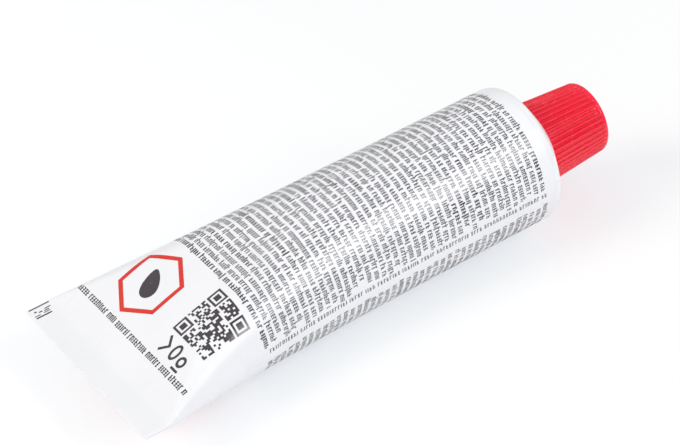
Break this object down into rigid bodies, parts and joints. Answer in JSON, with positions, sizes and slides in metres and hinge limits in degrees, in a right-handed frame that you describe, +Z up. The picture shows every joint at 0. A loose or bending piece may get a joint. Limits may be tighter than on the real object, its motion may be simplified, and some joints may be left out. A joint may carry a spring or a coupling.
{
  "type": "hardener tube",
  "caption": "Small soft white tube of hardener paste with a flat welded tail, a rounded shoulder and a fluted red screw cap.",
  "frame": {"origin": "on the floor under the middle of the lying tube: the centre of the bottom of its bounding box", "axes": "+X along the tube from the flat tail to the cap, +Z up. The tube's own axis points 3.2 degrees above +X, because it lies a little tail down. The flat tail is parallel to Y."},
  "size_m": [0.0784, 0.0296, 0.02],
  "materials": {
    "tube_white": "satin white laminate film with a clear varnish",
    "cap_red": "moulded red plastic, semi-gloss",
    "seal_white": "soft white foam disc",
    "print_dark": "dark grey printing ink under varnish",
    "print_red": "red printing ink under varnish"
  },
  "bodies": {
    "tube": {"tube": "tube_white"},
    "seal": {"cap_seal": "seal_white"},
    "cap": {"cap": "cap_red"}
  },
  "joints": [
    {"name": "cap_travel", "type": "slide", "parent": "tube", "child": "seal", "axis": [0.9984, 0, 0.0558], "range_m": [0, 0.006]},
    {"name": "cap_turn", "type": "hinge", "parent": "seal", "child": "cap", "pos_m": [0.03431, 0, 0.01092], "axis": [0.9984, 0, 0.0558], "range_deg": [0, 1440]}
  ],
  "couplings": [
    {"joint": "cap_turn", "follows": "cap_travel", "rad_per_m": 4188.8}
  ]
}
